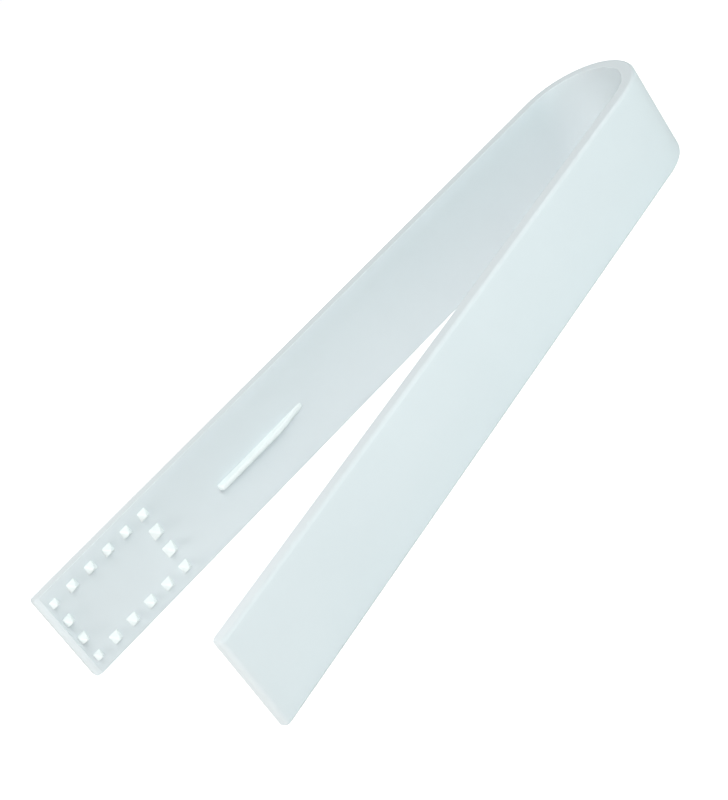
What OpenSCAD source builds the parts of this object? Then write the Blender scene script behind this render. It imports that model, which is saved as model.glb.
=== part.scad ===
// Print tongs: one springy strip of plastic, folded into two arms joined by a bow.
// They stand on their long edges. +X runs to the bow, +Z is across the strip, the toothed
// arm lies at +Y and the plain arm at -Y. The origin is under the middle of the whole
// object, on the surface that it stands on. Sizes are in millimetres and degrees.

/* [Overall] */
// Length from the crown of the bow to the ends of the arms
overall_length = 203; // [160:1:260]
// Width of the strip, which is the height of the tongs as they stand
strip_width = 26.4; // [21:0.1:36]
// Angle between the two arms with nothing squeezing them
spread_angle = 13.6; // [4:0.1:24]
// Radius of the outside of the bow
bow_radius = 18.9; // [12:0.1:26]

/* [Section of the strip] */
// Thickness of the flat web
web_thickness = 2.7; // [1.6:0.05:4]
// Height of the rims above the floor between them
rim_height = 1; // [1:0.05:2.5]
// Width of the rim along each long edge
rim_width = 0.9; // [0.6:0.05:1.8]
// Radius on the two long edges of the outer face
edge_radius = 1.2; // [0.3:0.05:1.5]

/* [Ends of the arms] */
// Width of the lip that closes the channel at each end
lip_width = 1.5; // [0.8:0.05:2]
// Radius of the two corners at each end
corner_radius = 1.5; // [1:0.05:3]

/* [Grip teeth] */
// Teeth in each row along the arm
teeth_along = 6; // [3:1:8]
// Teeth in each row across the arm
teeth_across = 4; // [2:1:4]
// Distance between the peaks of neighbouring teeth in the rows along the arm
tooth_pitch = 6.1; // [4.6:0.05:9]
// Side of the square that a tooth stands on
tooth_base = 3.6; // [2.4:0.05:4.5]
// Side of that square in the first row across, which is nearest the end
first_row_base = 2.8; // [2:0.05:3.6]
// Gap between the rims and the teeth of the outer rows
rim_gap = 1.35; // [0.3:0.05:1.5]
// Gap between the lip and the teeth of the first row across
lip_gap = 0.8; // [0.3:0.05:3]
// Height of a tooth above the floor
tooth_height = 2.7; // [1.4:0.05:3.5]
// Width of the flat on a tooth's peak
tooth_flat = 0.5; // [0.2:0.05:1]

/* [Stop rib] */
// Gap between the last row of teeth and the rib
rib_gap = 17.5; // [2:0.5:40]
// Length of the rib
rib_length = 30.5; // [15:0.5:60]
// Thickness of the rib
rib_width = 1.5; // [1:0.1:3]
// Height of the rib above the floor
rib_height = 2.3; // [2:0.1:6]
// Height of the rib above the floor at the very end of its run-out
rib_low_height = 0.3; // [0.3:0.1:1.5]
// Radius of the rib's nose, at the end nearer the teeth
rib_nose = 1.2; // [0.4:0.1:1.6]
// Length of the slope that runs the rib out towards the bow
rib_run_out = 7; // [3:0.5:12]
// Distance of the rib below the middle of the strip
rib_drop = 0.8; // [0:0.1:3]

/* [Hidden] */
$fn = 64;
tilt = spread_angle / 2;
edge_height = web_thickness + rim_height;
bow_x = overall_length / 2 - bow_radius;
arm_length = (overall_length - bow_radius + (bow_radius - edge_height) * sin(tilt)) / cos(tilt);
mid_height = strip_width / 2;
// The bow turns through this angle, and bends along a line in the middle of each half
bow_turn = 180 - spread_angle;
bend_angle = bow_turn / 4;
plastic = [0.87, 0.93, 0.94];

first_row = lip_width + lip_gap + first_row_base / 2;
last_row = first_row + (teeth_along - 1) * tooth_pitch;
row_places = [for (i = [0 : teeth_along - 1]) first_row + i * tooth_pitch];
low_row = rim_width + rim_gap + tooth_base / 2;
high_row = strip_width - low_row;
across_pitch = (high_row - low_row) / (teeth_across - 1);
rib_start = last_row + tooth_base / 2 + rib_gap;
nose = min(rib_nose, rib_height / 2);
// Each tooth's distance from the end of the arm and its height, round the four sides
TEETH = concat(
    [for (place = row_places) [place, high_row]],
    [for (i = [1 : 1 : teeth_across - 2]) [last_row, high_row - i * across_pitch]],
    [for (i = [teeth_along - 1 : -1 : 0]) [row_places[i], low_row]],
    [for (i = [1 : 1 : teeth_across - 2]) [first_row, low_row + i * across_pitch]]
);

TOOTH_NODES = [for (i = [1 : len(TEETH)]) str("grip_tooth_", i)];

// ---- Section of the strip: X is depth in from the outer face, Y is height ----

module web_section() {
    translate([edge_radius, 0])
        square([web_thickness - edge_radius, strip_width]);
    translate([0, edge_radius])
        square([web_thickness, strip_width - 2 * edge_radius]);
    for (height = [edge_radius, strip_width - edge_radius])
        translate([edge_radius, height]) circle(edge_radius);
}

module rim_section() {
    crest = rim_width / 2;
    translate([web_thickness, 0]) square([rim_height - crest, rim_width]);
    translate([edge_height - crest, crest]) circle(crest);
}

module upper_rim_section() {
    translate([0, strip_width]) mirror([0, 1]) rim_section();
}

module strip_section() {
    web_section();
    rim_section();
    upper_rim_section();
}

// ---- Arm frame: X is distance from the end, Y is depth from the outer face, Z is height ----

module on_plain_arm() {
    translate([bow_x, 0, 0]) rotate([0, 0, tilt]) translate([-arm_length, -bow_radius, 0])
        children();
}

module on_toothed_arm() {
    mirror([0, 1, 0]) on_plain_arm() children();
}

// The face of an arm, with the two corners at its end rounded
module arm_outline() {
    translate([corner_radius, 0]) square([arm_length - corner_radius, strip_width]);
    translate([0, corner_radius]) square([arm_length, strip_width - 2 * corner_radius]);
    for (height = [corner_radius, strip_width - corner_radius])
        translate([corner_radius, height]) circle(corner_radius);
}

// Runs a section along the arm, for the given length, and trims it to the arm's face
module along_arm(length = arm_length) {
    intersection() {
        rotate([90, 0, 90]) linear_extrude(length) children();
        translate([0, edge_height, 0]) rotate([90, 0, 0]) linear_extrude(edge_height) arm_outline();
    }
}

module tip_lip() {
    along_arm(lip_width)
        translate([web_thickness, rim_width]) square([rim_height, strip_width - 2 * rim_width]);
}

// ---- Bow ----

// A stretch of the bow, between two angles about its centre
module bow_stretch(from, to) {
    color(plastic) translate([bow_x, 0, 0]) rotate([0, 0, from])
        rotate_extrude(angle = to - from)
            translate([bow_radius, 0]) mirror([1, 0]) strip_section();
}

// The middle of the bow, between the two bend lines
module bow_crown() {
    bow_stretch(-bend_angle, bend_angle);
}

// ---- Toothed arm ----

// The bow from its bend line to the toothed arm
module toothed_arm_shoulder() {
    bow_stretch(bend_angle, bow_turn / 2);
}

module toothed_arm_blade() {
    color(plastic) on_toothed_arm() along_arm() web_section();
}

module toothed_arm_upper_rim() {
    color(plastic) on_toothed_arm() along_arm() upper_rim_section();
}

module toothed_arm_lower_rim() {
    color(plastic) on_toothed_arm() along_arm() rim_section();
}

module toothed_arm_tip_lip() {
    color(plastic) on_toothed_arm() tip_lip();
}

// One side of a tooth: a steep wedge with a small flat on top
module tooth_profile(base) {
    polygon([
        [-base / 2, 0],
        [base / 2, 0],
        [tooth_flat / 2, tooth_height],
        [-tooth_flat / 2, tooth_height]
    ]);
}

// A four-sided tooth, where two crossed wedges meet
module grip_tooth(number) {
    place = TEETH[number - 1];
    base = place[0] == first_row ? first_row_base : tooth_base;
    color(plastic) on_toothed_arm() translate([place[0], web_thickness, place[1]])
        intersection() {
            linear_extrude(base, center = true) tooth_profile(base);
            rotate([0, -90, 0]) linear_extrude(base, center = true) tooth_profile(base);
        }
}

// A low wall along the middle of the arm, high towards the teeth and low towards the bow
module stop_rib() {
    color(plastic) on_toothed_arm()
        translate([rib_start, web_thickness, mid_height - rib_drop])
            linear_extrude(rib_width, center = true) {
                polygon([
                    [0, 0],
                    [rib_length, 0],
                    [rib_length, rib_low_height],
                    [rib_length - rib_run_out, rib_height],
                    [nose, rib_height],
                    [0, rib_height - nose]
                ]);
                translate([nose, rib_height - nose]) circle(nose);
            }
}

// ---- Plain arm ----

// The bow from its bend line to the plain arm
module plain_arm_shoulder() {
    bow_stretch(-bow_turn / 2, -bend_angle);
}

module plain_arm_blade() {
    color(plastic) on_plain_arm() along_arm() web_section();
}

module plain_arm_upper_rim() {
    color(plastic) on_plain_arm() along_arm() upper_rim_section();
}

module plain_arm_lower_rim() {
    color(plastic) on_plain_arm() along_arm() rim_section();
}

module plain_arm_tip_lip() {
    color(plastic) on_plain_arm() tip_lip();
}

bow_crown();
toothed_arm_shoulder();
toothed_arm_blade();
toothed_arm_upper_rim();
toothed_arm_lower_rim();
toothed_arm_tip_lip();
stop_rib();
plain_arm_shoulder();
plain_arm_blade();
plain_arm_upper_rim();
plain_arm_lower_rim();
plain_arm_tip_lip();
for (i = [1 : len(TOOTH_NODES)])
    grip_tooth(i);
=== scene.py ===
import math

import bmesh
import bpy
from mathutils import Matrix, Vector


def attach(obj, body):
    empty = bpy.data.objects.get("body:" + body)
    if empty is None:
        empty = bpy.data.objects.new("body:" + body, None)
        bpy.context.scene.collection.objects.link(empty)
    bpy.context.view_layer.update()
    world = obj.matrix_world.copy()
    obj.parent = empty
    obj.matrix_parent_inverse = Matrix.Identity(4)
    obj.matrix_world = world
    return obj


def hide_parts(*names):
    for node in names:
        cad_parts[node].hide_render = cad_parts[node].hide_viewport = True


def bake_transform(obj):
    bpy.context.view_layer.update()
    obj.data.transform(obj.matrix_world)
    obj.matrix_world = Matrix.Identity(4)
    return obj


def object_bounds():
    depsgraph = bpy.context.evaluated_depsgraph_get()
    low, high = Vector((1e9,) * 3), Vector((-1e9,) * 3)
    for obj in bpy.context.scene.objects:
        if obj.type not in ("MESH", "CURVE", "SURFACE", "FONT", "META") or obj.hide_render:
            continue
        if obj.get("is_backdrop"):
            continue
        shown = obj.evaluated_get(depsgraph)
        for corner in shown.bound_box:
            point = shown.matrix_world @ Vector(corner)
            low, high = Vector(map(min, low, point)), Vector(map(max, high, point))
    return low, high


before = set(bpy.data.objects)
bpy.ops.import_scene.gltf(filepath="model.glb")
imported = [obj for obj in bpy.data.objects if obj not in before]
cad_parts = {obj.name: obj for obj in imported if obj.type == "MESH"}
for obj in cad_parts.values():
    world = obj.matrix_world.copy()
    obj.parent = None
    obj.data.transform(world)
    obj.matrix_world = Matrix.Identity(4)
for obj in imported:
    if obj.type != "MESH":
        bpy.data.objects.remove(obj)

cad_low, cad_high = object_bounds()


# ---- The strip: the arms and the bow ----
# The tongs are one strip of plastic, moulded already folded. Its outer face is flat, its
# inner face is a shallow trough, and a sloping lip closes the trough at each end. It is built
# as two halves that meet in the middle of the bow.

bow_radius = 0.0189
half_spread = math.radians(13.6 / 2)
strip_width = cad_high.z
bow_centre = Vector((cad_high.x - bow_radius, 0, 0))
tiny = 1e-6


def into_plain_arm():
    """Turns arm places (distance towards the bow, depth from the outer face, height) into
    the frame, for the plain arm. Zero distance is where the arm meets the bow."""
    turn = Matrix.Rotation(half_spread, 4, "Z")
    return Matrix.Translation(bow_centre) @ turn @ Matrix.Translation((0, -bow_radius, 0))


def into_toothed_arm():
    return Matrix.Scale(-1, 4, (0, 1, 0)) @ into_plain_arm()


def arm_box(node):
    """The lowest and highest corner of a CAD node along its own arm."""
    place = into_plain_arm() if node.startswith("plain") else into_toothed_arm()
    back = place.inverted()
    corners = [back @ v.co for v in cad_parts[node].data.vertices]
    low = Vector(min(c[i] for c in corners) for i in range(3))
    high = Vector(max(c[i] for c in corners) for i in range(3))
    return low, high


def moulded_plastic(name, shade, deep):
    """Satin moulded plastic, with a faint unevenness in colour and gloss and the slight
    waviness of a flat moulding that cooled unevenly. shade and deep are its two colours."""
    material = bpy.data.materials.new(name)
    material.use_nodes = True
    nodes, links = material.node_tree.nodes, material.node_tree.links
    shader = nodes["Principled BSDF"]
    shader.inputs["IOR"].default_value = 1.49
    place = nodes.new("ShaderNodeTexCoord")

    def noise(scale, detail):
        node = nodes.new("ShaderNodeTexNoise")
        node.inputs["Scale"].default_value = scale
        node.inputs["Detail"].default_value = detail
        links.new(place.outputs["Object"], node.inputs["Vector"])
        return node.outputs["Fac"]

    def bump(height, strength, distance):
        node = nodes.new("ShaderNodeBump")
        node.inputs["Strength"].default_value = strength
        node.inputs["Distance"].default_value = distance
        links.new(height, node.inputs["Height"])
        return node

    tint = nodes.new("ShaderNodeValToRGB")
    dark_end, light_end = tint.color_ramp.elements
    dark_end.color = (*deep, 1)
    light_end.color = (*shade, 1)
    dark_end.position, light_end.position = 0.3, 0.7
    links.new(noise(scale=45, detail=3), tint.inputs["Fac"])
    links.new(tint.outputs["Color"], shader.inputs["Base Color"])

    grain = noise(scale=900, detail=4)
    gloss = nodes.new("ShaderNodeMapRange")
    gloss.inputs["To Min"].default_value = 0.34
    gloss.inputs["To Max"].default_value = 0.46
    links.new(grain, gloss.inputs["Value"])
    links.new(gloss.outputs["Result"], shader.inputs["Roughness"])

    ripple = bump(noise(scale=60, detail=1), strength=0.5, distance=0.0002)
    fine = bump(grain, strength=0.3, distance=0.00001)
    links.new(ripple.outputs["Normal"], fine.inputs["Normal"])
    links.new(fine.outputs["Normal"], shader.inputs["Normal"])
    return material


def new_vertices(made):
    return [v for v in made if isinstance(v, bmesh.types.BMVert)]


def half_strip(name, place):
    """One arm and its half of the bow, as a closed mesh."""
    tip = arm_box(name + "_blade")[0].x
    crest = arm_box(name + "_lower_rim")[1].y
    lip = arm_box(name + "_tip_lip")[1].x
    lip_foot, lip_run = lip + 0.0003, lip + 0.0015
    step, trough, end_slope = 0.0004, 0.0009, 0.0008
    rim, middle = 0.0017, strip_width / 2
    across_steps, arm_steps, bow_steps = 12, 24, 36
    outer, inner, corner, end_outer, end_inner = 0.001, 0.0001, 0.0007, 0.0013, 0.0005
    widest = end_outer

    bm = bmesh.new()

    def lengthen(section, distance):
        made = bmesh.ops.extrude_face_region(bm, geom=[section, *section.edges])["geom"]
        bmesh.ops.translate(bm, verts=new_vertices(made), vec=(distance, 0, 0))
        return [f for f in made if isinstance(f, bmesh.types.BMFace)][0]

    def sink(section, depth_at):
        """Lowers the inner face. depth_at takes a place across it, from -1 to 1."""
        for v in section.verts:
            if v.co.y > crest / 2 and rim - tiny < v.co.z < strip_width - rim + tiny:
                v.co.y = crest - depth_at((v.co.z - middle) / (middle - rim))

    # The end face is thinner than the lip behind it, so that the lip slopes down to it.
    across = [rim + (strip_width - 2 * rim) * k / across_steps for k in range(across_steps + 1)]
    outline = [(0, 0), (0, strip_width), (crest, strip_width)]
    outline += [(crest, z) for z in reversed(across)] + [(crest, 0)]
    start = bm.faces.new([bm.verts.new((tip, y, z)) for y, z in outline])
    made = bmesh.ops.extrude_face_region(bm, geom=[start])["geom"]
    bmesh.ops.translate(bm, verts=new_vertices(made), vec=(lip - tip, 0, 0))
    section = [f for f in made if isinstance(f, bmesh.types.BMFace)][0]
    for v in bm.verts:
        if v.co.x < lip - tiny and v.co.y > crest / 2:
            v.co.y -= end_slope

    # Behind the lip the floor steps down, and then it deepens into the trough.
    section = lengthen(section, lip_foot - lip)
    sink(section, lambda off_middle: step * (1 - off_middle ** 8))
    section = lengthen(section, lip_run - lip_foot)
    sink(section, lambda off_middle: trough * (1 - off_middle ** 2))
    for _ in range(arm_steps):
        section = lengthen(section, -lip_run / arm_steps)
    bmesh.ops.spin(bm, geom=[section, *section.edges, *section.verts], axis=(0, 0, 1),
                   cent=(0, bow_radius, 0), angle=math.pi / 2 - half_spread, steps=bow_steps)
    bmesh.ops.remove_doubles(bm, verts=bm.verts, dist=tiny / 10)
    bmesh.ops.recalc_face_normals(bm, faces=bm.faces)

    def depth_of(point):
        if point.x <= tiny / 10:
            return point.y
        return bow_radius - math.hypot(point.x, point.y - bow_radius)

    def near(a, b):
        return abs(a - b) < tiny

    # Each rounded edge has its own radius, which is a share of the widest one.
    weight = bm.edges.layers.float.new("bevel_weight_edge")
    for e in bm.edges:
        a, b = (v.co for v in e.verts)
        deep, deep_too = depth_of(a), depth_of(b)
        at_long_edge = near(a.z, b.z) and (near(a.z, 0) or near(a.z, strip_width))
        size = 0
        if near(a.x, tip) and near(b.x, tip):
            if at_long_edge:
                size = corner
            elif near(deep, deep_too):
                size = end_outer if near(deep, 0) else end_inner
        elif at_long_edge and near(deep, 0) == near(deep_too, 0):
            size = outer if near(deep, 0) else inner
        e[weight] = size / widest
        if min(deep, deep_too) > crest / 2 and near(a.x, lip) and near(b.x, lip):
            e.smooth = False

    # The halves meet in a flat face with many corners. Its edge stays sharp.
    last = max(bm.faces, key=lambda f: f.calc_center_median().x * (len(f.verts) > 4))
    for e in last.edges:
        e.smooth = False
    for face in bm.faces:
        face.smooth = True
    bm.transform(place)
    if place.determinant() < 0:
        bmesh.ops.reverse_faces(bm, faces=bm.faces)
    mesh = bpy.data.meshes.new(name)
    bm.to_mesh(mesh)
    bm.free()
    piece = bpy.data.objects.new(name + "_moulding", mesh)
    bpy.context.collection.objects.link(piece)
    bevel = piece.modifiers.new("round", "BEVEL")
    bevel.limit_method = "WEIGHT"
    bevel.width = widest
    bevel.segments = 6
    bevel.use_clamp_overlap = False
    bevel.harden_normals = True
    bpy.context.view_layer.update()
    seen = piece.evaluated_get(bpy.context.evaluated_depsgraph_get())
    piece.data = bpy.data.meshes.new_from_object(seen)
    piece.modifiers.clear()
    return piece


strip_plastic = moulded_plastic("strip_plastic", (0.754, 0.82, 0.845), (0.738, 0.805, 0.831))
for name, place, side in (("toothed_arm", into_toothed_arm(), 1),
                          ("plain_arm", into_plain_arm(), -1)):
    strip = half_strip(name, place)
    strip.data.materials.append(strip_plastic)
    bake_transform(strip)
    parts = ["blade", "upper_rim", "lower_rim", "tip_lip", "shoulder"]
    covered = [f"{name}_{part}" for part in parts]
    if side > 0:
        covered.append("bow_crown")
    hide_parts(*covered)


# ---- Grip teeth ----
# Low four-sided teeth in a rectangle round the tip of one arm. They hold a wet print by
# its very edge. Each is moulded with the strip, so it has soft edges and a rounded peak.

# The teeth and the rib are moulded from the strip's own plastic. This lighter copy of it is
# painted highlight, standing in for the light that their slopes and crests catch.
painted_highlight_plastic = moulded_plastic("painted_highlight_plastic", (0.9, 0.965, 0.965), (0.87, 0.94, 0.945))
flat_top, sunk = 0.0005, 0.0001
slope_round, peak_round = 0.00055, 0.0002
tooth_crease = math.radians(60)


def round_off(bm, edges, radius, segments, clamp=False):
    """Rounds edges. clamp stops the roundings short of each other where they would overlap."""
    bmesh.ops.bevel(bm, geom=edges, offset=radius, offset_type="OFFSET", segments=segments,
                    profile=0.5, affect="EDGES", material=-1, clamp_overlap=clamp)


def smooth_mesh(bm, name, crease):
    """Turns a bmesh into a mesh that is shaded smooth but for edges sharper than crease."""
    mesh = bpy.data.meshes.new(name)
    bm.to_mesh(mesh)
    bm.free()
    for face in mesh.polygons:
        face.use_smooth = True
    mesh.set_sharp_from_angle(angle=crease)
    return mesh


tooth_nodes = [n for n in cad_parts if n.startswith("grip_tooth_")]
for node in sorted(tooth_nodes, key=lambda n: int(n.rsplit("_", 1)[1])):
    low, high = arm_box(node)
    size, height = high.x - low.x, high.y - low.y
    bm = bmesh.new()
    bmesh.ops.create_cone(bm, segments=4, cap_ends=True, depth=height,
                          radius1=size / math.sqrt(2), radius2=flat_top / math.sqrt(2))
    bmesh.ops.rotate(bm, verts=bm.verts, matrix=Matrix.Rotation(math.pi / 4, 3, "Z"))
    foot = [v for v in bm.verts if v.co.z < 0]
    bmesh.ops.translate(bm, verts=foot, vec=(0, 0, -sunk))
    slopes = [e for e in bm.edges if abs(e.verts[0].co.z - e.verts[1].co.z) > height / 2]
    round_off(bm, slopes, slope_round, segments=4, clamp=True)
    peak = [e for e in bm.edges if min(v.co.z for v in e.verts) > height / 2 - tiny]
    round_off(bm, peak, peak_round, segments=3, clamp=True)
    bmesh.ops.rotate(bm, verts=bm.verts, matrix=Matrix.Rotation(-math.pi / 2, 3, "X"))
    bmesh.ops.translate(bm, verts=bm.verts, vec=(low + high) / 2)
    bm.transform(into_toothed_arm())
    bmesh.ops.recalc_face_normals(bm, faces=bm.faces)
    mesh = smooth_mesh(bm, node, tooth_crease)
    tooth = bpy.data.objects.new("soft_" + node, mesh)
    bpy.context.collection.objects.link(tooth)
    # Painted highlight: the tooth takes the lighter copy of the strip plastic.
    mesh.materials.append(painted_highlight_plastic)
    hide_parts(node)
    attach(tooth, "toothed_arm")


# ---- Stop rib ----
# A thin wall along the middle of the toothed arm. It has a rounded nose towards the teeth
# and a rounded crest, and it slopes down into the floor at the end nearest the bow.

low, high = arm_box("stop_rib")
nose_round, run_out, low_end, crest_round = 0.00115, 0.0095, 0.0003, 0.0006
rib_crease = math.radians(40)
profile = [(low.x, low.y - sunk), (high.x, low.y - sunk), (high.x, low.y + low_end),
           (high.x - run_out, high.y), (low.x, high.y)]
bm = bmesh.new()
wall = bm.faces.new([bm.verts.new((x, y, low.z)) for x, y in profile])
made = bmesh.ops.extrude_face_region(bm, geom=[wall])["geom"]
bmesh.ops.translate(bm, verts=new_vertices(made), vec=(0, 0, high.z - low.z))
nose = [e for e in bm.edges
        if all(abs(v.co.x - low.x) < tiny and v.co.y > high.y - tiny for v in e.verts)]
round_off(bm, nose, nose_round, segments=10)
crest = [e for e in bm.edges if abs(e.verts[0].co.z - e.verts[1].co.z) < tiny
         and min(v.co.y for v in e.verts) > low.y - sunk / 2]
round_off(bm, crest, crest_round, segments=5)
bmesh.ops.remove_doubles(bm, verts=bm.verts, dist=tiny)
bm.transform(into_toothed_arm())
if bm.calc_volume(signed=True) < 0:
    bmesh.ops.reverse_faces(bm, faces=bm.faces)
mesh = smooth_mesh(bm, "rib", rib_crease)
rib = bpy.data.objects.new("soft_rib", mesh)
bpy.context.collection.objects.link(rib)
# Painted highlight: the rib takes the lighter copy of the strip plastic.
mesh.materials.append(painted_highlight_plastic)
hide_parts("stop_rib")
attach(rib, "toothed_arm")


# ---- Floor, light and camera ----
# A plain white floor and a white surround, with soft lamps all round, so that the light is
# even and nothing throws a hard shadow. The camera looks down on the tongs from the front
# left, and is rolled so that they lie aslant.

floor_half_width = 3
floor_mesh = bpy.data.meshes.new("floor")
bm = bmesh.new()
bmesh.ops.create_grid(bm, x_segments=1, y_segments=1, size=floor_half_width)
bm.to_mesh(floor_mesh)
bm.free()
floor = bpy.data.objects.new("floor", floor_mesh)
bpy.context.collection.objects.link(floor)
floor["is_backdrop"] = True
paint = bpy.data.materials.new("floor_white")
paint.use_nodes = True
nodes, links = paint.node_tree.nodes, paint.node_tree.links
shader = nodes["Principled BSDF"]
shader.inputs["Base Color"].default_value = (0.82, 0.82, 0.82, 1)
shader.inputs["Roughness"].default_value = 0.9
shader.inputs["Specular IOR Level"].default_value = 0
shader.inputs["Emission Color"].default_value = (1, 1, 1, 1)
path = nodes.new("ShaderNodeLightPath")
glow = nodes.new("ShaderNodeMapRange")
glow.inputs["To Max"].default_value = 0.8
links.new(path.outputs["Is Camera Ray"], glow.inputs["Value"])
links.new(glow.outputs["Result"], shader.inputs["Emission Strength"])
floor_mesh.materials.append(paint)

world = bpy.data.worlds.new("surround")
bpy.context.scene.world = world
world.use_nodes = True
nodes, links = world.node_tree.nodes, world.node_tree.links
sky = nodes["Background"]
sky.inputs["Color"].default_value = (1, 1, 1, 1)
path = nodes.new("ShaderNodeLightPath")
links.new(path.outputs["Is Camera Ray"], sky.inputs["Strength"])

# Each lamp has a name, an azimuth and an elevation in degrees, a lift in metres, a power in
# watts and a tint.
cool, warm, white = (0.83, 1, 0.98), (1, 0.97, 0.94), (1, 1, 1)
lamps = (
    ("front_right", 300, 15, 0, 0.88, cool),
    ("front_high", 270, 45, 0, 1.65, white),
    ("front_top", 240, 70, 0, 0.56, warm),
    ("front_left", 225, 20, 0, 0.18, white),
    ("left_low", 180, 4, 0.147, 1.86, warm),
    ("right_high", 0, 45, 0, 0.69, white),
    ("back_high", 90, 45, 0, 1.12, white),
)
lamp_size, lamp_distance = 0.3, 0.6
aim = Vector((0, 0, strip_width / 2))
for name, azimuth, elevation, lift, power, tint in lamps:
    lamp_data = bpy.data.lights.new(name, "AREA")
    lamp_data.size = lamp_size
    lamp_data.energy = power
    lamp_data.color = tint
    lamp = bpy.data.objects.new(name, lamp_data)
    around, rise = math.radians(azimuth), math.radians(elevation)
    towards = Vector((math.cos(rise) * math.cos(around), math.cos(rise) * math.sin(around),
                      math.sin(rise)))
    lamp.location = aim + towards * lamp_distance + Vector((0, 0, lift))
    lamp.rotation_euler = (aim - lamp.location).to_track_quat("-Z", "Y").to_euler()
    bpy.context.collection.objects.link(lamp)

camera_data = bpy.data.cameras.new("camera")
camera_data.sensor_width = 36
camera_data.lens = 95.826
camera_data.clip_start, camera_data.clip_end = 0.01, 20
camera = bpy.data.objects.new("camera", camera_data)
camera_place = (-0.238165, -0.405402, 0.243261)
right = Vector((0.588525, -0.615055, -0.524733))
up = Vector((0.685781, 0.036034, 0.726915))
facing = Matrix((right, up, right.cross(up))).transposed()
camera.matrix_world = Matrix.Translation(camera_place) @ facing.to_4x4()
bpy.context.collection.objects.link(camera)
bpy.context.scene.camera = camera

view = bpy.context.scene.view_settings
view.view_transform = "Standard"

low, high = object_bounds()
